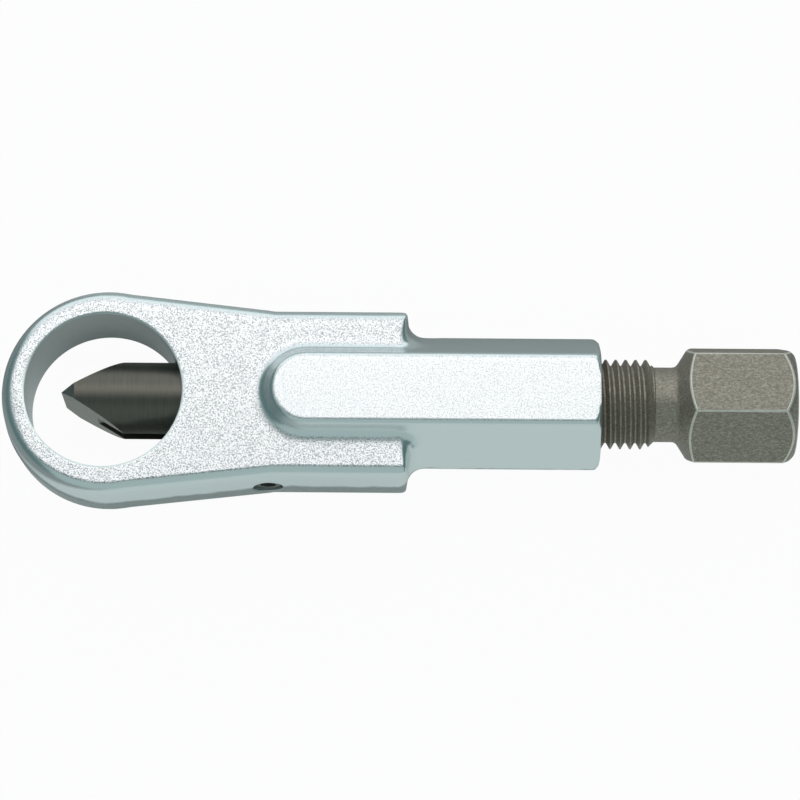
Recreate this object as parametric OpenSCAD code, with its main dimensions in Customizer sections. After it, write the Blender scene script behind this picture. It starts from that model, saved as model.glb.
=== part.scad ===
// Nut splitter: a forged ring frame with a hexagonal stem, a keyed chisel and
// a pressure spindle that drives the chisel across the ring into a seized nut.
// Millimetres. The origin is the centre of the nut opening, +X runs along the
// tool towards the spindle's drive hexagon and +Z leaves the front face.

/* [Forged head] */
// Diameter of the opening that takes the nut
nut_bore_d = 15.7; // [15:0.1:16.4]
// Outer diameter of the ring at the parting line
ring_d = 21.3; // [20.8:0.1:23]
// How far the ring's outer circle is centred behind the nut opening
ring_offset = 0.3; // [0:0.05:0.6]
// Thickness of the ring and the shoulder block
head_t = 8.6; // [8.2:0.1:9.4]
// Nut centre to the start of the straight shoulder block
head_l = 17.6; // [16.8:0.1:19]
// Length of the straight shoulder block
shoulder_l = 12.8; // [12:0.1:15]
// Width of the straight shoulder block at the parting line
shoulder_w = 17.5; // [16.8:0.1:18.4]
// Forging draft of the side walls, in degrees
draft_a = 3; // [1:0.5:7]
// Rounding of the forged edges
edge_r = 1.5; // [1:0.1:1.8]
// Rounding of the shoulder block's rear edges, which the stem leaves free
rear_edge_r = 0.6; // [0.4:0.1:1]
// Radius of the shoulder block's rear corners, seen from the front
corner_r = 1.4; // [1.4:0.1:2.4]

/* [Stem] */
// Width across the flats of the hexagonal stem
stem_af = 12; // [11.6:0.1:12.8]
// Length of the stem behind the shoulder block
stem_l = 19.1; // [17.5:0.1:22]
// Length of the raised spine on the head, up to the shoulder
spine_l = 13.65; // [12.5:0.05:15]
// Rounding of the stem's long edges
stem_edge_r = 0.6; // [0.3:0.05:0.8]
// Fillet at the foot of the raised spine
spine_fillet_r = 1.4; // [0.8:0.1:2]
// Fillet between the shoulder and the slanting sides of the stem
shoulder_fillet_r = 1.9; // [1.4:0.1:2.2]
// Turned chamfer on the stem's rear corners
stem_chamfer = 0.5; // [0.2:0.05:0.8]

/* [Chisel] */
// Diameter of the chisel
chisel_d = 7.7; // [7.4:0.05:7.9]
// Length of the chisel, edge to tail
chisel_l = 31.5; // [31:0.1:34]
// Included angle of the wedge, in degrees
wedge_a = 62; // [55:1:70]
// Length of the cutting edge
edge_l = 5.8; // [4.6:0.1:6.6]
// Gap between the cutting edge and the far side of the ring, as set
edge_gap = 3.6; // [2.5:0.1:4.5]
// Gap that is left when the keyway stops the chisel
stop_gap = 0.2; // [0.1:0.05:0.5]
// Depth of the keyway below the chisel's surface
keyway_depth = 1.75; // [1.4:0.05:2]
// Width of the keyway
keyway_w = 2.15; // [2.1:0.05:2.5]

/* [Guide screw] */
// Thread diameter of the guide screw
screw_d = 3; // [2.6:0.1:3.4]
// Diameter of the dog point that runs in the keyway
dog_d = 2; // [1.6:0.05:2]
// Width across the flats of the screw's hexagon socket
screw_socket_af = 1.5; // [1.2:0.1:1.6]
// Depth of the hexagon socket
screw_socket_l = 1.4; // [1:0.1:1.8]
// Nut centre to the screw's axis
screw_x = 16.4; // [15.6:0.1:17]
// How far the screw's outer end lies below the forged wall
screw_recess = 0.3; // [0.2:0.05:0.8]

/* [Pressure spindle] */
// Nominal diameter of the spindle's thread
thread_d = 9; // [8.8:0.1:9.6]
// Length of the thread, from its front end to the neck
thread_l = 27.5; // [26:0.1:30]
// Diameter of the plain neck behind the thread
neck_d = 7.5; // [6.8:0.1:7.8]
// Length of the plain neck
neck_l = 2.1; // [1.6:0.1:3]
// Width across the flats of the drive hexagon
drive_af = 11; // [10:0.1:11.4]
// Length of the drive hexagon, from neck to end face
drive_l = 12.15; // [11:0.05:16]
// Slope of the cone between neck and hexagon, from the axis, in degrees
cone_a = 58; // [45:0.5:65]
// Chamfer at the end of the hexagon, measured along the axis at the corners
drive_chamfer = 1.55; // [1:0.05:1.8]
// Radius of the slightly domed end face
dome_r = 45; // [30:1:90]
// Fillet where the neck meets the cone
neck_fillet_r = 0.6; // [0.3:0.05:0.9]
// How far the drive hexagon is turned about the axis, as set, in degrees
drive_turn = -9.8; // [-15:0.2:15]

/* [Thrust joint] */
// Diameter of the spindle's nose inside the chisel's tail
nose_d = 4.9; // [4.4:0.05:5]
// Length of the nose
nose_l = 2.9; // [2.7:0.05:3.4]
// Diameter of the thrust ball
ball_d = 3.5; // [3:0.05:3.8]
// How much of the ball's radius stands clear between its two cups
ball_share = 0.55; // [0.4:0.05:0.7]
// Wire of the retaining ring
wire_d = 0.8; // [0.6:0.05:0.85]
// Opening of the retaining ring, in degrees
ring_opening_a = 40; // [20:1:70]

/* [Fits] */
// Radial gap of turning and sliding fits
run_gap = 0.05; // [0.03:0.01:0.1]
// Gap between the spindle's shoulder and the chisel's tail
tail_gap = 0.3; // [0.2:0.05:0.5]
// Gap between the ball and its cups
ball_gap = 0.02; // [0.01:0.005:0.04]
// Gap below the dog point, and between the guide screw's foot and the chisel
dog_gap = 0.15; // [0.1:0.05:0.3]
// Radial gap of the guide screw in its hole
screw_gap = 0.02; // [0.01:0.01:0.05]

/* [Hidden] */
$fn = 96;

// Overlap that joins solids, and overrun of cutting shapes
join = 0.4;
over = 1;

// Places along the tool
shoulder_x = head_l + shoulder_l;
stem_end_x = shoulder_x + stem_l;
tip_x = edge_gap - nut_bore_d / 2;
tail_x = tip_x + chisel_l;
feed_in = edge_gap - stop_gap;
thread_x = tail_x + tail_gap;
neck_x = thread_x + thread_l;
drive_x = neck_x + neck_l;
drive_end_x = drive_x + drive_l;

// Forged head in plan
ring_r = ring_d / 2;
shoulder_r = shoulder_w / 2;
flank_run = head_l - ring_offset;
flank_far = norm([flank_run, shoulder_r]);
flank_a = 90 - atan2(shoulder_r, flank_run) - acos(ring_r / flank_far);
flank_l = sqrt(pow(flank_far, 2) - pow(ring_r, 2));

// Hexagons
stem_r = stem_af / sqrt(3);
drive_r = drive_af / sqrt(3);
spine_foot_r = stem_r - head_t / 2 / tan(60);
spine_x = shoulder_x - spine_l + stem_r / 2;

// How deep the shoulder's fillets and the flanks' walls are sunk into what they join
fillet_sink = 0.3;
flank_sink = 0.05;
// How deep the arcs of rounded corners are sunk, so that they cross the corners' chords
arc_sink = 0.02;

// Bores of the body, and the chamfer at the ends of the thread
guide_r = chisel_d / 2 + run_gap;
thread_bore_r = thread_d / 2 + run_gap;
thread_bore_x = thread_x - feed_in - tail_gap;
thread_chamfer = 0.6;

// Keyway and guide screw, measured down from the axis
keyway_floor = chisel_d / 2 - keyway_depth;
keyway_end_x = screw_x + dog_d / 2 + feed_in + run_gap;
dog_end = keyway_floor + dog_gap;
screw_foot = guide_r + dog_gap;
screw_top = flank_wall(screw_x) - screw_recess;

// Thrust joint, from the ball's centre outwards
nose_x = thread_x - nose_l;
ball_x = nose_x - ball_share * ball_d / 2;
socket_x = ball_x - ball_share * ball_d / 2;
socket_r = nose_d / 2 + run_gap;
wire_x = thread_x - nose_l / 2;
groove_gap = wire_d / 2 + run_gap;

// Half width of the forged head at the parting line, at a place along the flank
function flank_wall(x) = ring_r / cos(flank_a) - (x - ring_offset) * tan(flank_a);

// A profile in the YZ plane runs along +X from x
module along_x(x, l) {
  translate([x, 0, 0]) rotate([90, 0, 90]) linear_extrude(l) children();
}

// A profile of radius and X place turns about the X axis
module about_x() {
  rotate([0, 90, 0]) rotate_extrude() children();
}

// A profile of radius and Z turns about an upright axis, from one angle on
module upright(x, y, from_a, turn_a) {
  translate([x, y, 0]) rotate([0, 0, from_a]) rotate_extrude(angle = turn_a) children();
}

// Section of the forged slab from its middle out to a wall: both halves lean in
// from the parting line by the draft, and arcs round them into the faces
module slab_section(wall, t = head_t, r = edge_r) {
  arc_z = t / 2 - r;
  arc_x = wall - (r + arc_z * sin(draft_a)) / cos(draft_a);
  wall_x = arc_x + r * cos(draft_a);
  wall_z = arc_z + r * sin(draft_a);
  polygon([
    [0, -t / 2], [arc_x, -t / 2], [wall_x, -wall_z], [wall, 0],
    [wall_x, wall_z], [arc_x, t / 2], [0, t / 2]
  ]);
  for (side = [-1, 1]) translate([arc_x - arc_sink, side * (arc_z - arc_sink)]) circle(r);
}

// Hexagon with rounded corners and flats at the top and bottom
module rounded_hexagon(af, r) {
  middle = (af / 2 - r) / cos(30);
  polygon([
    for (i = [0 : 5], lean = [-30, 30])
      middle * [cos(60 * i), sin(60 * i)] + r * [cos(60 * i + lean), sin(60 * i + lean)]
  ]);
  for (i = [0 : 5]) rotate(60 * i) translate([middle - arc_sink, 0]) circle(r);
}

// Concave fillet in a corner at the origin, between +x and a line that rises at an angle
module corner_fill(a, r) {
  reach = r / tan(a / 2);
  top = reach * [cos(a), sin(a)];
  difference() {
    polygon([[reach, 0], [reach, -join], [top[0] - join, -join], [top[0] - join, top[1]], top]);
    translate([reach, r]) circle(r);
  }
}

// Tapered flanks: two oblique bars, each with one forged wall, meet in a wedge
module flanks() {
  intersection_for (side = [0, 1]) mirror([0, side, 0]) translate([ring_offset, 0, 0]) rotate(-flank_a)
    along_x(0, flank_l + over) {
      slab_section(ring_r - flank_sink);
      translate([-ring_d, -head_t / 2]) square([ring_d + join, head_t]);
    }
}

// Straight shoulder block with forged walls at both sides and at the rear
module shoulder_block() {
  corner = corner_r - flank_sink;
  intersection() {
    along_x(head_l / 2, head_l / 2 + shoulder_l + over)
      for (side = [0, 1]) mirror([side, 0]) slab_section(shoulder_r);
    rotate([90, 0, 0]) linear_extrude(2 * shoulder_w, center = true)
      slab_section(shoulder_x, head_t + 2 * flank_sink, rear_edge_r);
    linear_extrude(2 * head_t, center = true) {
      translate([0, -shoulder_w]) square([shoulder_x - corner, 2 * shoulder_w]);
      translate([0, corner - shoulder_r]) square([shoulder_x + over, shoulder_w - 2 * corner]);
      for (side = [-1, 1]) translate([shoulder_x - corner, side * (shoulder_r - corner)]) circle(corner_r);
    }
  }
}

// The hexagonal stem runs into the head as a raised spine with a round end
module stem() {
  intersection() {
    along_x(spine_x, stem_end_x - spine_x) rounded_hexagon(stem_af, stem_edge_r);
    about_x() polygon([
      [0, 0], [stem_r + over, 0], [stem_r + over, stem_end_x - stem_chamfer - over * tan(30)],
      [stem_r - stem_chamfer / tan(30), stem_end_x], [0, stem_end_x]
    ]);
  }
  upright(spine_x, 0, 90, 180) intersection() {
    rounded_hexagon(stem_af, stem_edge_r);
    translate([0, -stem_af]) square(2 * stem_af);
  }
}

// Fillets at the foot of the spine, on both faces of the head
module spine_fillets() {
  for (face = [0, 1]) mirror([0, 0, face]) {
    upright(spine_x, 0, 90, 180) translate([spine_foot_r, head_t / 2]) corner_fill(120, spine_fillet_r);
    for (side = [0, 1]) mirror([0, side, 0])
      along_x(spine_x, shoulder_x - corner_r - spine_x)
        translate([spine_foot_r, head_t / 2]) corner_fill(120, spine_fillet_r);
  }
}

// Fillets that lead the shoulder into the slanting sides of the stem. Their ends slope
// down from the rear edge, and they stop short of the shoulder's round corners.
module shoulder_fillets() {
  start_z = head_t / 2 - rear_edge_r;
  end_z = start_z - shoulder_fillet_r;
  fillet_x = shoulder_x - fillet_sink + shoulder_fillet_r;
  fillet_r = stem_af / 2 - flank_sink + shoulder_fillet_r;
  half_w = shoulder_r - corner_r * (1 - cos(45));
  intersection() {
    for (side = [0, 1]) mirror([0, side, 0]) intersection_for (lean = [-30, 30]) rotate([lean, 0, 0])
      linear_extrude(2 * shoulder_w, center = true) difference() {
        translate([shoulder_x - join, stem_af / 4]) square([fillet_x - shoulder_x + join, shoulder_w]);
        translate([fillet_x, fillet_r]) circle(shoulder_fillet_r);
        translate([shoulder_x - fillet_sink, fillet_r]) square(shoulder_w);
      }
    rotate([90, 0, 0]) linear_extrude(2 * half_w, center = true) polygon([
      [shoulder_x - over, -start_z], [shoulder_x, -start_z], [shoulder_x + shoulder_fillet_r, -end_z],
      [shoulder_x + shoulder_fillet_r, end_z], [shoulder_x, start_z], [shoulder_x - over, start_z]
    ]);
  }
}

// Forged frame: nut opening, guide bore for the chisel, tapped bore for the spindle
module forged_body() {
  color("lightsteelblue") difference() {
    union() {
      upright(ring_offset, 0, 0, 360) slab_section(ring_r);
      flanks();
      shoulder_block();
      stem();
      spine_fillets();
      shoulder_fillets();
    }
    cylinder(h = head_t + 2 * over, d = nut_bore_d, center = true);
    about_x() polygon([
      [0, 0], [guide_r, 0], [guide_r, thread_bore_x],
      [thread_bore_r, thread_bore_x + thread_bore_r - guide_r],
      [thread_bore_r, stem_end_x - thread_chamfer],
      [thread_bore_r + thread_chamfer + over, stem_end_x + over], [0, stem_end_x + over]
    ]);
    translate([screw_x, 0, 0]) rotate([90, 0, 0]) cylinder(h = ring_r + over, d = screw_d);
  }
}

// Dog point set screw, driven in from the side, that keeps the chisel from turning
module guide_screw() {
  point_chamfer = 0.25;
  thread_r = screw_d / 2 - screw_gap;
  dog_r = dog_d / 2;
  color("dimgray") translate([screw_x, 0, 0]) rotate([90, 0, 0]) difference() {
    rotate_extrude() polygon([
      [0, dog_end], [dog_r - point_chamfer, dog_end], [dog_r, dog_end + point_chamfer],
      [dog_r, screw_foot], [thread_r - point_chamfer, screw_foot],
      [thread_r, screw_foot + point_chamfer], [thread_r, screw_top - point_chamfer],
      [thread_r - point_chamfer, screw_top], [0, screw_top]
    ]);
    translate([0, 0, screw_top - screw_socket_l])
      cylinder(h = screw_socket_l + over, d = screw_socket_af / cos(30), $fn = 6);
  }
}

// Chisel: round bar with a wedge point, a keyway and a socket for the spindle's nose
module chisel() {
  bevel_l = chisel_d / 2 / tan(wedge_a / 2);
  relief = (chisel_d - edge_l) / 2;
  tail_chamfer = 0.4;
  keyway_r = keyway_w / 2;
  color("darkslategray") difference() {
    intersection() {
      about_x() polygon([
        [0, tip_x], [chisel_d / 2, tip_x], [chisel_d / 2, tail_x - tail_chamfer],
        [chisel_d / 2 - tail_chamfer, tail_x], [0, tail_x]
      ]);
      linear_extrude(chisel_d + over, center = true) polygon([
        [tip_x, 0], [tip_x + bevel_l, chisel_d / 2], [tip_x + bevel_l + over, chisel_d],
        [tail_x + over, chisel_d], [tail_x + over, -chisel_d],
        [tip_x + bevel_l + over, -chisel_d], [tip_x + bevel_l, -chisel_d / 2]
      ]);
      rotate([90, 0, 0]) linear_extrude(chisel_d + over, center = true) polygon([
        [tip_x, -edge_l / 2], [tip_x, edge_l / 2], [tip_x + relief + over, chisel_d / 2 + over],
        [tail_x + over, chisel_d / 2 + over], [tail_x + over, -chisel_d / 2 - over],
        [tip_x + relief + over, -chisel_d / 2 - over]
      ]);
    }
    translate([tip_x, -chisel_d, -keyway_r])
      cube([keyway_end_x - keyway_r - tip_x, chisel_d - keyway_floor, keyway_w]);
    translate([keyway_end_x - keyway_r, -keyway_floor, 0]) rotate([90, 0, 0])
      cylinder(h = chisel_d, r = keyway_r);
    about_x() polygon([
      [0, socket_x], [socket_r, socket_x], [socket_r, wire_x - groove_gap],
      [socket_r + groove_gap, wire_x - groove_gap], [socket_r + groove_gap, wire_x + groove_gap],
      [socket_r, wire_x + groove_gap], [socket_r, tail_x + over], [0, tail_x + over]
    ]);
    translate([ball_x, 0, 0]) sphere(d = ball_d + 2 * ball_gap);
  }
}

// Hardened ball that takes the thrust between the turning spindle and the chisel
module thrust_ball() {
  color("silver") translate([ball_x, 0, 0]) sphere(d = ball_d);
}

// Round wire ring that lets the spindle draw the chisel back
module retaining_ring() {
  color("gray") translate([wire_x, 0, 0]) rotate([0, 90, 0])
    rotate([0, 0, ring_opening_a / 2]) rotate_extrude(angle = 360 - ring_opening_a)
      translate([socket_r, 0]) circle(d = wire_d);
}

// Pressure spindle: grooved nose, thread at its major diameter, neck and drive hexagon
module pressure_spindle() {
  nose_r = nose_d / 2;
  thread_r = thread_d / 2;
  neck_r = neck_d / 2;
  cone_l = (drive_r + over - neck_r) / tan(cone_a);
  end_r = drive_r - drive_chamfer;
  root_r = socket_r - groove_gap;
  color("gray") difference() {
    union() {
      about_x() polygon([
        [0, nose_x], [nose_r, nose_x], [nose_r, wire_x - groove_gap], [root_r, wire_x - groove_gap],
        [root_r, wire_x + groove_gap], [nose_r, wire_x + groove_gap], [nose_r, thread_x],
        [thread_r - thread_chamfer, thread_x], [thread_r, thread_x + thread_chamfer],
        [thread_r, neck_x - thread_chamfer], [thread_r - thread_chamfer, neck_x],
        [neck_r, neck_x], [neck_r, drive_x + join], [0, drive_x + join]
      ]);
      intersection() {
        along_x(drive_x, drive_l) rotate(drive_turn) circle(drive_r, $fn = 6);
        about_x() intersection() {
          polygon([
            [0, drive_x], [neck_r, drive_x], [drive_r + over, drive_x + cone_l],
            [drive_r + over, drive_end_x - drive_chamfer - over], [end_r, drive_end_x], [0, drive_end_x]
          ]);
          translate([0, drive_end_x - dome_r]) circle(dome_r);
        }
      }
      about_x() translate([neck_r, drive_x]) rotate(-90) corner_fill(180 - cone_a, neck_fillet_r);
    }
    translate([ball_x, 0, 0]) sphere(d = ball_d + 2 * ball_gap);
  }
}

forged_body();
guide_screw();
chisel();
thrust_ball();
retaining_ring();
pressure_spindle();
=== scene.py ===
import math

import bpy
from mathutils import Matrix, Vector


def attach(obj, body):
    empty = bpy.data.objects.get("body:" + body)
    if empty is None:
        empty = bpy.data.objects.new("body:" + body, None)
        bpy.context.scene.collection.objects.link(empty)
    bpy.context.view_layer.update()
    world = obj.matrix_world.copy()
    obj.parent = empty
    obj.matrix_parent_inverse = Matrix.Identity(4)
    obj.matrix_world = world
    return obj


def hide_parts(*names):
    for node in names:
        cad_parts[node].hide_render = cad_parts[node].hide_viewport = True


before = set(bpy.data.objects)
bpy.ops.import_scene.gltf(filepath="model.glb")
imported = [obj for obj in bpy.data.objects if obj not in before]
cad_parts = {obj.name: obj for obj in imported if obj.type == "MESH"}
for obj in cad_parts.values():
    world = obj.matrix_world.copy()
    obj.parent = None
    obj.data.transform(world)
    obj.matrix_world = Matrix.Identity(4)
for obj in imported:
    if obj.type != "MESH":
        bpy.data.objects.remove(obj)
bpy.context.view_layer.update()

# Forged body: a drop forging of carbon steel, shot blasted and bright zinc plated.
# Its edges are the die's soft ones, crisper along the front of the head and the stem. The
# nut opening and the bores are machined afterwards. It carries every other piece.
MM = 0.001
HEAD_HALF_T = 4.3
STEM_END = 49.5
OPENING_R = 7.85
OPENING_RIM = 0.08
RIM_SLOPE = 2.4
BORE_START = 5.0
GUIDE_R = 3.9
TAP_R = 4.55
TAP_START = 23.85
TAP_CHAMFER = 0.6
SCREW_X = 16.4
SCREW_HOLE_R = 1.5
SCREW_HOLE_MOUTH = 8.75
SCREW_HOLE_FLOOR = 3.0
SCREW_CUT_TOP = 11.0
FORGING_GRID = 0.2
PLUG_LAP = 0.3
OVERRUN = 2.0
SHOULDER_X = 30.4
FILLET_RUN = (30.5, 33.4)
FILLET_START = Vector((30.8, 5.3, 3.3))
FILLET_SOFTENED = ((1.4, 60), (2.0, 20), (2.5, 8))
CRISP_HEAD = (-3.0, -4.0, -5.0, -6.0)
HEAD_LIFT = 1.0085
HEAD_SLACK = 0.03
HEAD_RISEN = 0.15
SPINE_FOOT_X = 12.0
SPINE_FOOT_Y = -6.0
STEM_HALF = 6.0
FLANK_FOOT = 4.7
CRISP_STEM = (-1.0, -1.8, -2.5, -3.0)
CRISP_STEM_END = STEM_END - 0.6
STEM_LIFT = 1.016
STEM_SLACK = 0.02


def take(piece):
    """Makes one object the active one and the only one selected."""
    bpy.ops.object.select_all(action="DESELECT")
    piece.select_set(True)
    bpy.context.view_layer.objects.active = piece
    return piece


def shape(piece, kind, **settings):
    """Adds a modifier with its settings and applies it."""
    take(piece)
    bpy.ops.object.modifier_add(type=kind)
    modifier = piece.modifiers[-1]
    for name, value in settings.items():
        setattr(modifier, name, value)
    bpy.ops.object.modifier_apply(modifier=modifier.name)
    return piece


def combine(piece, tool, operation):
    """Cuts a tool out of a piece, adds it, or keeps what both hold. The tool goes."""
    shape(piece, "BOOLEAN", object=tool, operation=operation, solver="EXACT", material_mode="TRANSFER")
    bpy.data.objects.remove(tool)
    return piece


def turned(name, profile, turn_axis="X", shift=(0, 0, 0), steps=128):
    """A lathe part: places along the axis and radii in mm, from end to end, spun round."""
    along = {"X": (1, 0, 0), "Y": (0, 1, 0), "Z": (0, 0, 1)}[turn_axis]
    out = (0, 1, 0) if turn_axis == "X" else (1, 0, 0)
    points = [MM * (x * Vector(along) + r * Vector(out)) for x, r in profile]
    bpy.ops.object.select_all(action="DESELECT")
    bpy.ops.mesh.primitive_plane_add(size=MM)
    piece = bpy.context.object
    piece.name = piece.data.name = name
    bpy.ops.object.mode_set(mode="EDIT")
    bpy.ops.mesh.merge(type="COLLAPSE")
    bpy.ops.transform.translate(value=points[0])
    for start, end in zip(points, points[1:]):
        bpy.ops.mesh.extrude_vertices_move(TRANSFORM_OT_translate={"value": end - start})
    bpy.ops.mesh.select_all(action="SELECT")
    bpy.ops.mesh.spin(steps=steps, angle=math.tau, center=(0, 0, 0), axis=along)
    bpy.ops.mesh.select_all(action="SELECT")
    bpy.ops.mesh.remove_doubles(threshold=0.001 * MM)
    bpy.ops.mesh.normals_make_consistent(inside=False)
    bpy.ops.transform.translate(value=[MM * s for s in shift])
    bpy.ops.object.mode_set(mode="OBJECT")
    return piece


def pick(piece, wanted):
    """Selects the vertices whose place in mm is wanted, in edit mode."""
    take(piece)
    bpy.ops.object.mode_set(mode="EDIT")
    bpy.ops.mesh.select_mode(type="VERT")
    bpy.ops.mesh.select_all(action="DESELECT")
    bpy.ops.object.mode_set(mode="OBJECT")
    for vertex in piece.data.vertices:
        vertex.select = wanted(vertex.co / MM)
    bpy.ops.object.mode_set(mode="EDIT")


def linear(colour):
    """Linear colour of an sRGB hex value."""
    parts = [int(colour[i : i + 2], 16) / 255 for i in (1, 3, 5)]
    return [c / 12.92 if c <= 0.04045 else ((c + 0.055) / 1.055) ** 2.4 for c in parts] + [1]


def add_node(tree, kind, settings, sockets):
    """Adds a node. Sockets take a value, or an output that is linked to them."""
    node = tree.nodes.new(kind)
    for name, value in settings.items():
        setattr(node, name, value)
    for name, value in sockets.items():
        if isinstance(value, bpy.types.NodeSocket):
            tree.links.new(value, node.inputs[name])
        else:
            node.inputs[name].default_value = value
    return node


def new_material(name):
    """A node material with its tree, its Principled shader and Object coordinates."""
    material = bpy.data.materials.new(name)
    material.use_nodes = True
    tree = material.node_tree
    place = add_node(tree, "ShaderNodeTexCoord", {}, {}).outputs["Object"]
    return material, tree, tree.nodes["Principled BSDF"], place


def dress(tree, surface, colour, roughness, normal, metal=1.0):
    """Links or sets what a metal's shader shows. Matt coats are less than fully metal."""
    surface.inputs["Metallic"].default_value = metal
    for socket, value in (("Base Color", colour), ("Roughness", roughness), ("Normal", normal)):
        if isinstance(value, bpy.types.NodeSocket):
            tree.links.new(value, surface.inputs[socket])
        else:
            surface.inputs[socket].default_value = value


# Bright zinc on a drop forging: pale, slightly blue. The blasted die faces show light and grey
# specks of a peened grain, about 0.15 mm across. Edges, flanks and the stem's ground flats are
# smoother. Below the parting line the trimming tool has left a wall with shear marks. Its darker
# teal colour is partly painted shade: the floor's contact shadow that this wall reflects.
EDGE_RAGGED = 0.05
PARTING_WAVE = 1.0
zinc, tree, surface, place = new_material("bright_zinc_plate_on_drop_forging")
grain = add_node(tree, "ShaderNodeTexNoise", {}, {
    "Vector": place, "Scale": 1 / (0.14 * MM), "Detail": 1.0, "Roughness": 0.6})
dents = add_node(tree, "ShaderNodeTexNoise", {}, {"Vector": place, "Scale": 1 / (1.6 * MM), "Detail": 2.0})
outward = add_node(tree, "ShaderNodeSeparateXYZ", {}, {
    "Vector": add_node(tree, "ShaderNodeNewGeometry", {}, {}).outputs["Normal"]})
level = add_node(tree, "ShaderNodeMath", {"operation": "ABSOLUTE"}, {0: outward.outputs["Z"]})
ragged = add_node(tree, "ShaderNodeMath", {"operation": "MULTIPLY_ADD"}, {
    0: grain.outputs["Fac"], 1: EDGE_RAGGED, 2: level.outputs["Value"]})
blasted = add_node(tree, "ShaderNodeMapRange", {}, {
    "Value": ragged.outputs["Value"], "From Min": 0.91, "From Max": 1.0})
height = add_node(tree, "ShaderNodeSeparateXYZ", {}, {"Vector": place})
above = add_node(tree, "ShaderNodeMath", {"operation": "ABSOLUTE"}, {0: height.outputs["Z"]})
flats = add_node(tree, "ShaderNodeMapRange", {}, {
    "Value": above.outputs["Value"], "From Min": 5.3 * MM, "From Max": 5.7 * MM})
ring_end = add_node(tree, "ShaderNodeMapRange", {}, {
    "Value": height.outputs["X"], "From Min": 1 * MM, "From Max": -9 * MM, "To Max": -2.0 * MM})
shorn = add_node(tree, "ShaderNodeMath", {"operation": "ADD"}, {
    0: ring_end.outputs["Result"], 1: height.outputs["Z"]})
parting = add_node(tree, "ShaderNodeMath", {"operation": "MULTIPLY_ADD"}, {
    0: dents.outputs["Fac"], 1: PARTING_WAVE * MM, 2: shorn.outputs["Value"]})
below = add_node(tree, "ShaderNodeMapRange", {}, {
    "Value": parting.outputs["Value"], "From Min": 0.9 * MM, "From Max": 0.2 * MM})
upright = add_node(tree, "ShaderNodeMapRange", {}, {
    "Value": level.outputs["Value"], "From Min": 0.35, "From Max": 0.25})
# Trim band mask: the upright wall below the parting line, reaching higher toward the ring's left end. It
# carries the real shear marks and the painted shade.
trim_band_and_shade = add_node(tree, "ShaderNodeMath", {"operation": "MULTIPLY"}, {
    0: below.outputs["Result"], 1: upright.outputs["Result"]})
shear = add_node(tree, "ShaderNodeMapping", {}, {"Vector": place, "Scale": (4 / MM, 4 / MM, 0.7 / MM)})
marks = add_node(tree, "ShaderNodeTexNoise", {}, {
    "Vector": shear.outputs["Vector"], "Scale": 1.0, "Detail": 2.0})
specks = add_node(tree, "ShaderNodeMapRange", {}, {
    "Value": grain.outputs["Fac"], "From Min": 0.36, "From Max": 0.54})
darkest = add_node(tree, "ShaderNodeMix", {"data_type": "RGBA"}, {
    "Factor": flats.outputs["Result"], 6: linear("#adafb1"), 7: linear("#d2d2d3")})
lightest = add_node(tree, "ShaderNodeMix", {"data_type": "RGBA"}, {
    "Factor": flats.outputs["Result"], 6: linear("#f8f6f7"), 7: linear("#f8f7f8")})
speckled = add_node(tree, "ShaderNodeMix", {"data_type": "RGBA"}, {
    "Factor": specks.outputs["Result"], 6: darkest.outputs[2], 7: lightest.outputs[2]})
plain = add_node(tree, "ShaderNodeMix", {"data_type": "RGBA"}, {
    "Factor": blasted.outputs["Result"], 6: linear("#dbe4e4"), 7: speckled.outputs[2]})
# Painted shade: the trim band's dark teal colours stand partly for the contact shadow that the wall reflects.
# Their streaks are the real shear marks.
sheared_and_shaded = add_node(tree, "ShaderNodeMix", {"data_type": "RGBA"}, {
    "Factor": marks.outputs["Fac"], 6: linear("#566866"), 7: linear("#7d8e8b")})
colour = add_node(tree, "ShaderNodeMix", {"data_type": "RGBA"}, {
    "Factor": trim_band_and_shade.outputs["Value"], 6: plain.outputs[2], 7: sheared_and_shaded.outputs[2]})
gloss = add_node(tree, "ShaderNodeMapRange", {}, {
    "Value": blasted.outputs["Result"], "To Min": 0.27, "To Max": 0.38})
uneven = add_node(tree, "ShaderNodeBump", {}, {
    "Height": dents.outputs["Fac"], "Strength": 0.2, "Distance": 0.04 * MM})
coarse = add_node(tree, "ShaderNodeMapRange", {}, {
    "Value": flats.outputs["Result"], "To Min": 0.5, "To Max": 0.2})
peening = add_node(tree, "ShaderNodeMapRange", {}, {
    "Value": blasted.outputs["Result"], "To Min": 0.08, "To Max": coarse.outputs["Result"]})
peened = add_node(tree, "ShaderNodeBump", {}, {
    "Height": grain.outputs["Fac"], "Strength": peening.outputs["Result"], "Distance": 0.04 * MM,
    "Normal": uneven.outputs["Normal"]})
scraped = add_node(tree, "ShaderNodeBump", {}, {
    "Height": marks.outputs["Fac"], "Strength": trim_band_and_shade.outputs["Value"], "Distance": 0.03 * MM,
    "Normal": peened.outputs["Normal"]})
dress(tree, surface, colour.outputs[2], gloss.outputs["Result"], scraped.outputs["Normal"])

# Bored steel under the same zinc: the tool leaves fine rings round the opening.
bored, tree, surface, place = new_material("bright_zinc_plate_on_bored_steel")
rings = add_node(tree, "ShaderNodeMapping", {}, {"Vector": place, "Scale": (0.4 / MM, 0.4 / MM, 9 / MM)})
lines = add_node(tree, "ShaderNodeTexNoise", {}, {
    "Vector": rings.outputs["Vector"], "Scale": 1.0, "Detail": 3.0})
colour = add_node(tree, "ShaderNodeMix", {"data_type": "RGBA"}, {
    "Factor": lines.outputs["Fac"], 6: linear("#c3cccb"), 7: linear("#e6ebea")})
scored = add_node(tree, "ShaderNodeBump", {}, {
    "Height": lines.outputs["Fac"], "Strength": 0.2, "Distance": 0.02 * MM})
dress(tree, surface, colour.outputs[2], 0.34, scored.outputs["Normal"])

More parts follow.
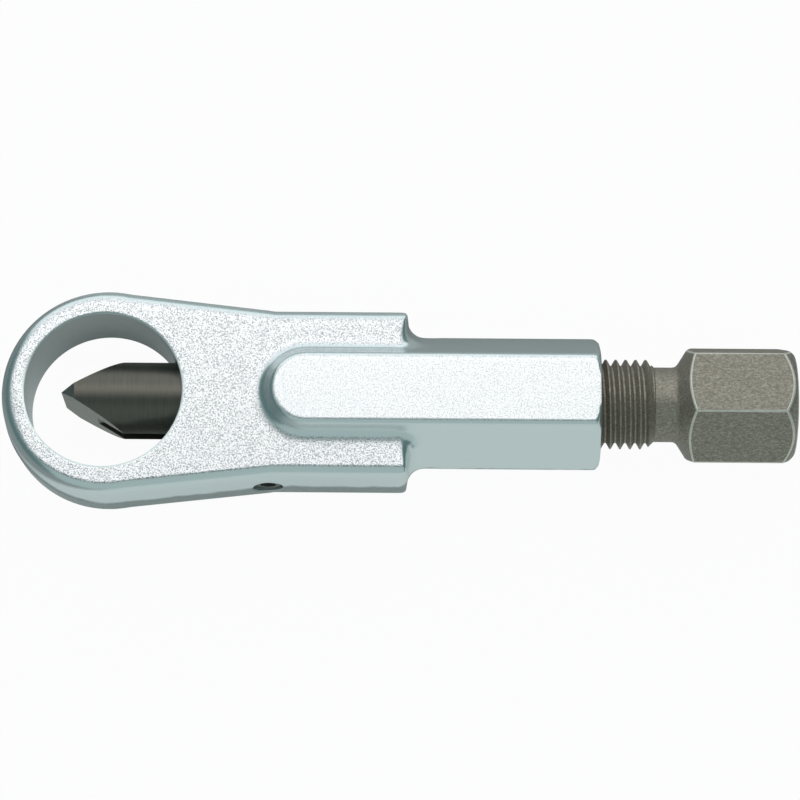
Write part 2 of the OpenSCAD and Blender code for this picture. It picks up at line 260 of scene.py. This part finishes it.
body = bpy.data.objects.new("forging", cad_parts["forged_body"].data.copy())
bpy.context.scene.collection.objects.link(body)
take(body)
bpy.ops.object.mode_set(mode="EDIT")
bpy.ops.mesh.select_all(action="SELECT")
bpy.ops.mesh.remove_doubles(threshold=0.001 * MM)
bpy.ops.object.mode_set(mode="OBJECT")
plugs = [
    turned("opening_plug", [
        (-HEAD_HALF_T, 0), (-HEAD_HALF_T, OPENING_R + PLUG_LAP),
        (HEAD_HALF_T, OPENING_R + PLUG_LAP), (HEAD_HALF_T, 0)], "Z"),
    turned("bore_plug", [
        (BORE_START, 0), (BORE_START, GUIDE_R + PLUG_LAP), (TAP_START, GUIDE_R + PLUG_LAP),
        (TAP_START, TAP_R + PLUG_LAP), (STEM_END, TAP_R + 2 * PLUG_LAP), (STEM_END, 0)]),
    turned("screw_plug", [
        (-SCREW_HOLE_MOUTH, 0), (-SCREW_HOLE_MOUTH, SCREW_HOLE_R + PLUG_LAP),
        (-SCREW_HOLE_FLOOR, SCREW_HOLE_R + PLUG_LAP), (-SCREW_HOLE_FLOOR, 0)], "Y", (SCREW_X, 0, 0)),
]
take(body)
for plug in plugs:
    plug.select_set(True)
bpy.ops.object.join()
body.data.materials.clear()
body.data.materials.append(zinc)
shape(body, "REMESH", mode="VOXEL", voxel_size=FORGING_GRID * MM)
shape(body, "SMOOTH", factor=0.5, iterations=6)
pick(body, lambda p: FILLET_RUN[0] < p.x < FILLET_RUN[1] and abs(p.z) < HEAD_HALF_T)
bpy.ops.object.vertex_group_assign_new()
bpy.ops.object.mode_set(mode="OBJECT")
shape(body, "SMOOTH", factor=0.5, iterations=20, vertex_group=body.vertex_groups[0].name)
for start in CRISP_HEAD:
    pick(body, lambda p: p.x < SHOULDER_X and p.y < (start if p.x < SPINE_FOOT_X else SPINE_FOOT_Y)
         and abs(p.z) < HEAD_HALF_T + HEAD_SLACK)
    bpy.ops.transform.resize(value=(1, 1, HEAD_LIFT), center_override=(0, 0, 0))
    bpy.ops.object.mode_set(mode="OBJECT")
for side in (-1, 1):
    pick(body, lambda p: p.x < SHOULDER_X and p.y < (CRISP_HEAD[0] if p.x < SPINE_FOOT_X else SPINE_FOOT_Y)
         and 0 < side * p.z - HEAD_HALF_T < HEAD_RISEN)
    bpy.ops.transform.resize(value=(1, 1, 0), center_override=(0, 0, side * HEAD_HALF_T * MM))
    bpy.ops.object.mode_set(mode="OBJECT")
    for start in CRISP_STEM:
        pick(body, lambda p: p.y < start and FLANK_FOOT < side * p.z < STEM_HALF + STEM_SLACK
             and p.x < CRISP_STEM_END)
        bpy.ops.transform.resize(value=(1, 1, STEM_LIFT), center_override=(0, 0, side * FLANK_FOOT * MM))
        bpy.ops.object.mode_set(mode="OBJECT")
    pick(body, lambda p: p.y < CRISP_STEM[0] and side * p.z > STEM_HALF and p.x < CRISP_STEM_END)
    bpy.ops.transform.resize(value=(1, 1, 0), center_override=(0, 0, side * STEM_HALF * MM))
    bpy.ops.object.mode_set(mode="OBJECT")
for reach, times in FILLET_SOFTENED:
    pick(body, lambda p: (Vector((p.x, abs(p.y), abs(p.z))) - FILLET_START).length < reach)
    bpy.ops.mesh.vertices_smooth(factor=0.5, repeat=times)
    bpy.ops.object.mode_set(mode="OBJECT")
cutters = [
    turned("opening_cutter", [
        (-HEAD_HALF_T - OVERRUN, 0), (-HEAD_HALF_T - OVERRUN, OPENING_R + RIM_SLOPE * (OPENING_RIM + OVERRUN)),
        (-HEAD_HALF_T + OPENING_RIM, OPENING_R), (HEAD_HALF_T - OPENING_RIM, OPENING_R),
        (HEAD_HALF_T + OVERRUN, OPENING_R + RIM_SLOPE * (OPENING_RIM + OVERRUN)), (HEAD_HALF_T + OVERRUN, 0)],
        "Z", steps=192),
    turned("bore_cutter", [
        (BORE_START, 0), (BORE_START, GUIDE_R), (TAP_START, GUIDE_R), (TAP_START + TAP_R - GUIDE_R, TAP_R),
        (STEM_END - TAP_CHAMFER, TAP_R), (STEM_END + OVERRUN, TAP_R + TAP_CHAMFER + OVERRUN),
        (STEM_END + OVERRUN, 0)]),
    turned("screw_cutter", [
        (-SCREW_CUT_TOP, 0), (-SCREW_CUT_TOP, SCREW_HOLE_R), (-SCREW_HOLE_FLOOR, SCREW_HOLE_R),
        (-SCREW_HOLE_FLOOR, 0)], "Y", (SCREW_X, 0, 0)),
]
for cutter in cutters:
    cutter.data.materials.append(bored)
    combine(body, cutter, "DIFFERENCE")
take(body)
bpy.ops.object.shade_smooth_by_angle(angle=math.radians(35))
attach(body, "body")
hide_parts("forged_body")

# Guide screw: a black dog point set screw with a hexagon socket. It is driven into
# the lower wall of the head, and its point runs in the chisel's keyway.
SCREW_R = 1.48
SCREW_TOP = 8.58
SCREW_FOOT = 4.05
DOG_R = 1.0
DOG_END = 2.25
SOCKET_AF = 1.5
SOCKET_DEPTH = 1.4
SCREW_EDGE = 0.25
screw = turned("set_screw", [
    (-SCREW_TOP, 0), (-SCREW_TOP, SCREW_R - SCREW_EDGE), (-SCREW_TOP + SCREW_EDGE, SCREW_R),
    (-SCREW_FOOT - SCREW_EDGE, SCREW_R), (-SCREW_FOOT, SCREW_R - SCREW_EDGE), (-SCREW_FOOT, DOG_R),
    (-DOG_END - SCREW_EDGE, DOG_R), (-DOG_END, DOG_R - SCREW_EDGE), (-DOG_END, 0)],
    "Y", (SCREW_X, 0, 0), steps=64)
bpy.ops.object.select_all(action="DESELECT")
bpy.ops.mesh.primitive_cylinder_add(
    vertices=6, radius=SOCKET_AF / math.sqrt(3) * MM, depth=2 * SOCKET_DEPTH * MM,
    location=(SCREW_X * MM, -SCREW_TOP * MM, 0), rotation=(math.pi / 2, 0, 0))
combine(screw, bpy.context.object, "DIFFERENCE")

# Black oxide on an alloy screw: a thin dark film with a dull oily sheen.
oxide, tree, surface, place = new_material("black_oxide_on_alloy_steel")
mottle = add_node(tree, "ShaderNodeTexNoise", {}, {"Vector": place, "Scale": 1 / (0.5 * MM), "Detail": 2.0})
colour = add_node(tree, "ShaderNodeMix", {"data_type": "RGBA"}, {
    "Factor": mottle.outputs["Fac"], 6: linear("#62645f"), 7: linear("#7c7d78")})
rough = add_node(tree, "ShaderNodeBump", {}, {
    "Height": mottle.outputs["Fac"], "Strength": 0.1, "Distance": 0.02 * MM})
dress(tree, surface, colour.outputs[2], 0.45, rough.outputs["Normal"], 0.6)
screw.data.materials.clear()
screw.data.materials.append(oxide)
take(screw)
bpy.ops.object.shade_smooth_by_angle(angle=math.radians(30))
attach(screw, "body")
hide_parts("guide_screw")

# Chisel: a round bar of tool steel, blackened, with two ground bevels that meet in a
# straight edge, a milled keyway along its lower side and a socket in its tail.
CHISEL_R = 3.85
TIP = -4.25
TAIL = 27.25
WEDGE_HALF = math.radians(31)
EDGE_HALF = 2.9
TAIL_EDGE = 0.4
KEYWAY_FLOOR = 2.1
KEYWAY_HALF = 1.075
KEYWAY_END = 20.85
SLOT_TALL = 3.0
TIP_LEAN = 0.7
SAME_WAY = 0.999
CUP = [(21.92, 0), (22.0, 0.53), (22.35, 1.16), (22.72, 1.49)]
TAIL_SOCKET_R = 2.5
TAIL_GROOVE_R = 2.95
WIRE_GROOVE = (25.65, 26.55)
chisel = turned("chisel_bar", [
    (TIP, 0), (TIP, CHISEL_R), (TAIL - TAIL_EDGE, CHISEL_R), (TAIL, CHISEL_R - TAIL_EDGE), (TAIL, 0)])
take(chisel)
bpy.ops.object.mode_set(mode="EDIT")
slopes = [
    ((TIP, 0, 0), (-math.sin(WEDGE_HALF), math.cos(WEDGE_HALF), 0)),
    ((TIP, 0, 0), (-math.sin(WEDGE_HALF), -math.cos(WEDGE_HALF), 0)),
    ((TIP, 0, EDGE_HALF), (-TIP_LEAN, 0, 1)),
    ((TIP, 0, -EDGE_HALF), (-TIP_LEAN, 0, -1)),
]
for point, facing in slopes:
    bpy.ops.mesh.select_all(action="SELECT")
    bpy.ops.mesh.bisect(
        plane_co=[MM * p for p in point], plane_no=facing, use_fill=True, clear_outer=True,
        threshold=0.0001 * MM)
bpy.ops.object.mode_set(mode="OBJECT")
bpy.ops.object.select_all(action="DESELECT")
slot_length = KEYWAY_END - KEYWAY_HALF - TIP + OVERRUN
bpy.ops.mesh.primitive_cube_add(
    size=1, scale=(slot_length * MM, SLOT_TALL * MM, 2 * KEYWAY_HALF * MM),
    location=((KEYWAY_END - KEYWAY_HALF - slot_length / 2) * MM, -(KEYWAY_FLOOR + SLOT_TALL / 2) * MM, 0))
slot = bpy.context.object
bpy.ops.object.transform_apply(location=True, rotation=True, scale=True)
slot_end = turned("keyway_end", [
    (-KEYWAY_FLOOR - SLOT_TALL, 0), (-KEYWAY_FLOOR - SLOT_TALL, KEYWAY_HALF),
    (-KEYWAY_FLOOR, KEYWAY_HALF), (-KEYWAY_FLOOR, 0)], "Y", (KEYWAY_END - KEYWAY_HALF, 0, 0), steps=48)
tail_socket = turned("tail_socket", CUP + [
    (CUP[-1][0], TAIL_SOCKET_R), (WIRE_GROOVE[0], TAIL_SOCKET_R), (WIRE_GROOVE[0], TAIL_GROOVE_R),
    (WIRE_GROOVE[1], TAIL_GROOVE_R), (WIRE_GROOVE[1], TAIL_SOCKET_R), (TAIL + OVERRUN, TAIL_SOCKET_R),
    (TAIL + OVERRUN, 0)])

# Black oxide on tool steel: dark, even and satin, with faint turning marks round it.
blackened, tree, surface, place = new_material("black_oxide_on_tool_steel")
turning = add_node(tree, "ShaderNodeMapping", {}, {"Vector": place, "Scale": (9 / MM, 0.5 / MM, 0.5 / MM)})
marks = add_node(tree, "ShaderNodeTexNoise", {}, {
    "Vector": turning.outputs["Vector"], "Scale": 1.0, "Detail": 2.0})
colour = add_node(tree, "ShaderNodeMix", {"data_type": "RGBA"}, {
    "Factor": marks.outputs["Fac"], 6: linear("#5c5952"), 7: linear("#706d66")})
scored = add_node(tree, "ShaderNodeBump", {}, {
    "Height": marks.outputs["Fac"], "Strength": 0.12, "Distance": 0.02 * MM})
dress(tree, surface, colour.outputs[2], 0.4, scored.outputs["Normal"])

# Ground tool steel: the bevels are ground after blackening, with marks across the edge.
ground, tree, surface, place = new_material("ground_tool_steel")
grinding = add_node(tree, "ShaderNodeMapping", {}, {"Vector": place, "Scale": (0.7 / MM, 0.7 / MM, 8 / MM)})
scratches = add_node(tree, "ShaderNodeTexNoise", {}, {
    "Vector": grinding.outputs["Vector"], "Scale": 1.0, "Detail": 3.0})
colour = add_node(tree, "ShaderNodeMix", {"data_type": "RGBA"}, {
    "Factor": scratches.outputs["Fac"], 6: linear("#787872"), 7: linear("#a09f99")})
scored = add_node(tree, "ShaderNodeBump", {}, {
    "Height": scratches.outputs["Fac"], "Strength": 0.3, "Distance": 0.02 * MM})
dress(tree, surface, colour.outputs[2], 0.4, scored.outputs["Normal"])
chisel.data.materials.append(blackened)
chisel.data.materials.append(ground)
for face in chisel.data.polygons:
    for point, facing in slopes:
        if face.normal.dot(Vector(facing).normalized()) > SAME_WAY:
            face.material_index = 1
for tool in (slot, slot_end, tail_socket):
    tool.data.materials.append(blackened)
    combine(chisel, tool, "DIFFERENCE")
take(chisel)
bpy.ops.object.shade_smooth_by_angle(angle=math.radians(30))
shape(chisel, "WEIGHTED_NORMAL", keep_sharp=True)
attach(chisel, "chisel")
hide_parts("chisel")

# Thrust ball: a polished ball of bearing steel between the chisel and the spindle.
# It lies in two cups and is hidden inside the chisel's tail.
polished, tree, surface, place = new_material("polished_bearing_steel")
haze = add_node(tree, "ShaderNodeTexNoise", {}, {"Vector": place, "Scale": 1 / (0.6 * MM), "Detail": 1.0})
sheen = add_node(tree, "ShaderNodeMapRange", {}, {"Value": haze.outputs["Fac"], "To Min": 0.06, "To Max": 0.14})
dress(tree, surface, linear("#dcdddf"), sheen.outputs["Result"], (0, 0, 0))
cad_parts["thrust_ball"].data.materials.clear()
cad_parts["thrust_ball"].data.materials.append(polished)

# Retaining ring: an open ring of drawn spring wire. It lies in the grooves of the
# chisel's tail and the spindle's nose, so that the spindle draws the chisel back.
wire, tree, surface, place = new_material("drawn_spring_wire")
haze = add_node(tree, "ShaderNodeTexNoise", {}, {"Vector": place, "Scale": 1 / (0.3 * MM), "Detail": 1.0})
sheen = add_node(tree, "ShaderNodeMapRange", {}, {"Value": haze.outputs["Fac"], "To Min": 0.22, "To Max": 0.34})
dress(tree, surface, linear("#9c9d9f"), sheen.outputs["Result"], (0, 0, 0))
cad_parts["retaining_ring"].data.materials.clear()
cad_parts["retaining_ring"].data.materials.append(wire)

# Pressure spindle: turned from hexagon bar and phosphated. It has a fine right-hand
# thread with a 1 mm pitch, a plain neck, a cone and a drive hexagon with a domed end.
THREAD_R = 4.5
ROOT_R = 3.887
PITCH = 1.0
THREAD_START = 27.55
THREAD_END = 55.1
CREST_AT = 50.08
ENVELOPE_R = 4.65
NECK_R = 3.75
DRIVE_AF = 11.0
DRIVE_BAR_MID = 62.0
DRIVE_BAR_L = 20.0
DRIVE_BLANK_R = 7.35
DRIVE_END = 69.3
DRIVE_TURN = math.radians(-9.8)
FLANK = (THREAD_R - ROOT_R) * math.tan(math.radians(30))
CREST = PITCH / 8
ROOT = PITCH - CREST - 2 * FLANK
NOSE_R = 2.45
NOSE_GROOVE_R = 2.05
NOSE_CUP = [(25.457, 0), (25.35, 0.62), (25.05, 1.13), (24.65, 1.485)]

# Phosphate coat on bright-drawn hexagon bar: a matt grey-brown skin over fine marks
# that run along the bar.
phosphate, tree, surface, place = new_material("phosphate_coat_on_drawn_steel")
drawn = add_node(tree, "ShaderNodeMapping", {}, {"Vector": place, "Scale": (2.4 / MM, 7 / MM, 7 / MM)})
drawing = add_node(tree, "ShaderNodeTexNoise", {}, {
    "Vector": drawn.outputs["Vector"], "Scale": 1.0, "Detail": 3.0})
crystals = add_node(tree, "ShaderNodeTexNoise", {}, {"Vector": place, "Scale": 1 / (0.2 * MM), "Detail": 2.0})
blend = add_node(tree, "ShaderNodeMath", {"operation": "MULTIPLY"}, {
    0: drawing.outputs["Fac"], 1: crystals.outputs["Fac"]})
shades = add_node(tree, "ShaderNodeMapRange", {}, {
    "Value": blend.outputs["Value"], "From Min": 0.15, "From Max": 0.4})
colour = add_node(tree, "ShaderNodeMix", {"data_type": "RGBA"}, {
    "Factor": shades.outputs["Result"], 6: linear("#857e73"), 7: linear("#b1a99b")})
coat = add_node(tree, "ShaderNodeBump", {}, {
    "Height": blend.outputs["Value"], "Strength": 0.25, "Distance": 0.03 * MM})
dress(tree, surface, colour.outputs[2], 0.5, coat.outputs["Normal"], 0.6)

# Worn phosphate: on the hexagon's ridges the coat has rubbed thin and bare steel shows.
worn, tree, surface, place = new_material("worn_phosphate_on_drawn_steel")
rubbing = add_node(tree, "ShaderNodeTexNoise", {}, {"Vector": place, "Scale": 1 / (0.3 * MM), "Detail": 2.0})
colour = add_node(tree, "ShaderNodeMix", {"data_type": "RGBA"}, {
    "Factor": rubbing.outputs["Fac"], 6: linear("#c4bfb2"), 7: linear("#f0ece0")})
dress(tree, surface, colour.outputs[2], 0.5, (0, 0, 0), 0.6)
turns_before = math.ceil(CREST_AT - THREAD_START) + 2
first = CREST_AT - CREST / 2 - FLANK - ROOT - turns_before * PITCH
bpy.ops.object.select_all(action="DESELECT")
bpy.ops.mesh.primitive_plane_add(size=MM)
spindle = bpy.context.object
spindle.name = spindle.data.name = "threaded_spindle"
spindle.data.materials.append(phosphate)
bpy.ops.object.mode_set(mode="EDIT")
bpy.ops.mesh.merge(type="COLLAPSE")
bpy.ops.transform.translate(value=(first * MM, ROOT_R * MM, 0))
rise = THREAD_R - ROOT_R
for step_x, step_r in ((ROOT, 0), (FLANK, rise), (CREST, 0), (FLANK, -rise)):
    bpy.ops.mesh.extrude_vertices_move(TRANSFORM_OT_translate={"value": (step_x * MM, step_r * MM, 0)})
bpy.ops.object.mode_set(mode="OBJECT")
shape(spindle, "SCREW", axis="X", angle=math.tau, screw_offset=PITCH * MM, iterations=32, steps=72,
      render_steps=72, use_merge_vertices=True, merge_threshold=0.001 * MM)
take(spindle)
bpy.ops.object.mode_set(mode="EDIT")
bpy.ops.mesh.select_all(action="SELECT")
bpy.ops.mesh.remove_doubles(threshold=0.001 * MM)
for end, facing in ((THREAD_START, -1), (THREAD_END, 1)):
    bpy.ops.mesh.select_all(action="SELECT")
    bpy.ops.mesh.bisect(plane_co=(end * MM, 0, 0), plane_no=(facing, 0, 0), use_fill=True, clear_outer=True,
                        threshold=0.0001 * MM)
bpy.ops.mesh.select_all(action="SELECT")
bpy.ops.mesh.normals_make_consistent(inside=False)
bpy.ops.object.mode_set(mode="OBJECT")
envelope = turned("thread_envelope", [
    (27, 0), (27, 3.35), (28.3, ENVELOPE_R), (54.05, ENVELOPE_R), (55.2, 3.5), (55.2, 0)])
combine(spindle, envelope, "INTERSECT")
bpy.ops.object.select_all(action="DESELECT")
bpy.ops.mesh.primitive_cylinder_add(
    vertices=6, radius=DRIVE_AF / math.sqrt(3) * MM, depth=DRIVE_BAR_L * MM,
    location=(DRIVE_BAR_MID * MM, 0, 0), rotation=(0, math.pi / 2, 0))
head = bpy.context.object
bpy.ops.object.transform_apply(location=True, rotation=True, scale=True)
bpy.ops.object.mode_set(mode="EDIT")
bpy.ops.mesh.select_all(action="SELECT")
bpy.ops.transform.rotate(value=-DRIVE_TURN, orient_axis="X", center_override=(0, 0, 0))
bpy.ops.object.mode_set(mode="OBJECT")
blank = turned("head_blank", [
    (53.5, 0), (53.5, NECK_R), (56.75, NECK_R), (57.0, 3.79), (57.22, 3.92), (57.4, 4.14),
    (59.41, DRIVE_BLANK_R), (66.75, DRIVE_BLANK_R), (67.75, 6.35), (69.01, 5.09),
    (69.18, 3.3), (69.27, 1.7), (DRIVE_END, 0)])
combine(head, blank, "INTERSECT")
take(head)
bpy.ops.object.mode_set(mode="EDIT")
bpy.ops.mesh.select_all(action="SELECT")
bpy.ops.mesh.remove_doubles(threshold=0.02 * MM)
bpy.ops.object.mode_set(mode="OBJECT")
head.data.materials.clear()
head.data.materials.append(phosphate)
head.data.materials.append(worn)
shape(head, "BEVEL", width=0.15 * MM, segments=2, limit_method="ANGLE", angle_limit=math.radians(25),
      material=1, use_clamp_overlap=False)
nose = turned("spindle_nose", NOSE_CUP + [
    (24.65, 2.3), (24.8, NOSE_R), (WIRE_GROOVE[0], NOSE_R), (WIRE_GROOVE[0], NOSE_GROOVE_R),
    (WIRE_GROOVE[1], NOSE_GROOVE_R), (WIRE_GROOVE[1], NOSE_R), (28.5, NOSE_R), (28.5, 0)])
combine(spindle, head, "UNION")
combine(spindle, nose, "UNION")
take(spindle)
bpy.ops.object.shade_smooth_by_angle(angle=math.radians(30))
shape(spindle, "WEIGHTED_NORMAL", keep_sharp=True)
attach(spindle, "spindle")
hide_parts("pressure_spindle")

# Studio: a pale floor under the tool's flats, a strip of soft light above and behind it,
# dimmer panels behind, in front and to the left, a dark surround, and the camera.
FLOOR_Z = -6.0
CAMERA_UP = math.radians(74.5)
CAMERA_ROLL = math.radians(0.43)
CAMERA_DISTANCE = 335.0
LOOKED_AT = Vector((29.5, 0.3, 0))
FLOOR_WHITE = 0.96
FLOOR_MIRRORED = 0.6
LIT_FROM = 9.0
LIT_TO = -2.0
LIT_MOST = 0.85
BACK_FROM = 9.0
BACK_TO = 22.0
BACK_MOST = 0.4
SHADED_FROM = -8.0
SHADED_TO = -14.0
SHADED_LEFT = 0.2
bpy.ops.object.select_all(action="DESELECT")
bpy.ops.mesh.primitive_plane_add(size=4, location=(0, 0, FLOOR_Z * MM))
floor = bpy.context.object
floor.name = "floor"
paper, tree, surface, place = new_material("white_studio_paper")
surface.inputs["Base Color"].default_value = linear("#eeeeee")
surface.inputs["Roughness"].default_value = 0.9
surface.inputs["Specular IOR Level"].default_value = 0.0
# Painted light: the floor glows only in reflections. The glow is brighter in front of and behind the tool and
# dimmer to its left, a painted pool of light with painted shade.
path = add_node(tree, "ShaderNodeLightPath", {}, {})
mirrored = add_node(tree, "ShaderNodeMath", {"operation": "ADD", "use_clamp": True}, {
    0: path.outputs["Is Glossy Ray"], 1: path.outputs["Is Transmission Ray"]})
spread = add_node(tree, "ShaderNodeSeparateXYZ", {}, {"Vector": place})
behind = add_node(tree, "ShaderNodeMapRange", {}, {
    "Value": spread.outputs["Y"], "From Min": BACK_FROM * MM, "From Max": BACK_TO * MM, "To Max": BACK_MOST})
ahead = add_node(tree, "ShaderNodeMapRange", {}, {
    "Value": spread.outputs["Y"], "From Min": LIT_FROM * MM, "From Max": LIT_TO * MM, "To Max": LIT_MOST})
both = add_node(tree, "ShaderNodeMath", {"operation": "ADD"}, {
    0: behind.outputs["Result"], 1: ahead.outputs["Result"]})
left = add_node(tree, "ShaderNodeMapRange", {}, {
    "Value": spread.outputs["X"], "From Min": SHADED_FROM * MM, "From Max": SHADED_TO * MM,
    "To Min": 1.0, "To Max": SHADED_LEFT})
lit = add_node(tree, "ShaderNodeMath", {"operation": "MULTIPLY"}, {
    0: both.outputs["Value"], 1: left.outputs["Result"]})
glow = add_node(tree, "ShaderNodeEmission", {}, {"Color": linear("#f0faf9"), "Strength": lit.outputs["Value"]})
white = add_node(tree, "ShaderNodeEmission", {}, {"Color": (1, 1, 1, 1), "Strength": 1.0})
part = add_node(tree, "ShaderNodeMath", {"operation": "MULTIPLY"}, {
    0: mirrored.outputs["Value"], 1: FLOOR_MIRRORED})
seen = add_node(tree, "ShaderNodeMath", {"operation": "MULTIPLY"}, {
    0: path.outputs["Is Camera Ray"], 1: FLOOR_WHITE})
mixed = add_node(tree, "ShaderNodeMixShader", {}, {
    0: part.outputs["Value"], 1: surface.outputs["BSDF"], 2: glow.outputs["Emission"]})
mixed = add_node(tree, "ShaderNodeMixShader", {}, {
    0: seen.outputs["Value"], 1: mixed.outputs["Shader"], 2: white.outputs["Emission"]})
tree.links.new(mixed.outputs["Shader"], tree.nodes["Material Output"].inputs["Surface"])
floor.data.materials.append(paper)

world = bpy.data.worlds.new("dim_surround")
bpy.context.scene.world = world
world.use_nodes = True
tree = world.node_tree
surround = tree.nodes["Background"]
surround.inputs["Color"].default_value = linear("#5f7879")
surround.inputs["Strength"].default_value = 1.0
path = add_node(tree, "ShaderNodeLightPath", {}, {})
backdrop = add_node(tree, "ShaderNodeBackground", {}, {"Color": (1, 1, 1, 1), "Strength": 1.0})
mixed = add_node(tree, "ShaderNodeMixShader", {}, {
    0: path.outputs["Is Camera Ray"], 1: surround.outputs["Background"], 2: backdrop.outputs["Background"]})
tree.links.new(mixed.outputs["Shader"], tree.nodes["World Output"].inputs["Surface"])

# Each lamp has a name, a place in mm, a width and height in metres, a power in watts and a tint.
LAMPS = [
    ("key_strip", (30, 250, 602), (0.9, 0.34), 1.46, "#fffdfd"),
    ("back_panel", (30, 580, 285), (1.2, 0.5), 1.8, "#fbfcff"),
    ("front_panel", (30, -517, 323), (1.2, 0.82), 1.15, "#f3faf9"),
    ("left_panel", (-380, 60, 480), (0.4, 0.3), 0.1, "#fbf8ff"),
]
for name, spot, size, power, tint in LAMPS:
    lamp = bpy.data.lights.new(name, "AREA")
    lamp.shape = "RECTANGLE"
    lamp.size, lamp.size_y = size
    lamp.energy = power
    lamp.color = linear(tint)[:3]
    holder = bpy.data.objects.new(name, lamp)
    bpy.context.scene.collection.objects.link(holder)
    holder.location = MM * Vector(spot)
    holder.rotation_euler = (LOOKED_AT * MM - holder.location).to_track_quat("-Z", "Y").to_euler()

camera = bpy.data.objects.new("camera", bpy.data.cameras.new("camera"))
bpy.context.scene.collection.objects.link(camera)
camera.data.lens = 150
camera.data.sensor_width = 36
camera.location = MM * (LOOKED_AT + CAMERA_DISTANCE * Vector((0, -math.cos(CAMERA_UP), math.sin(CAMERA_UP))))
camera.rotation_euler = (math.pi / 2 - CAMERA_UP, 0, 0)
camera.rotation_euler.rotate_axis("Z", CAMERA_ROLL)
bpy.context.scene.camera = camera
bpy.context.scene.view_settings.view_transform = "Standard"
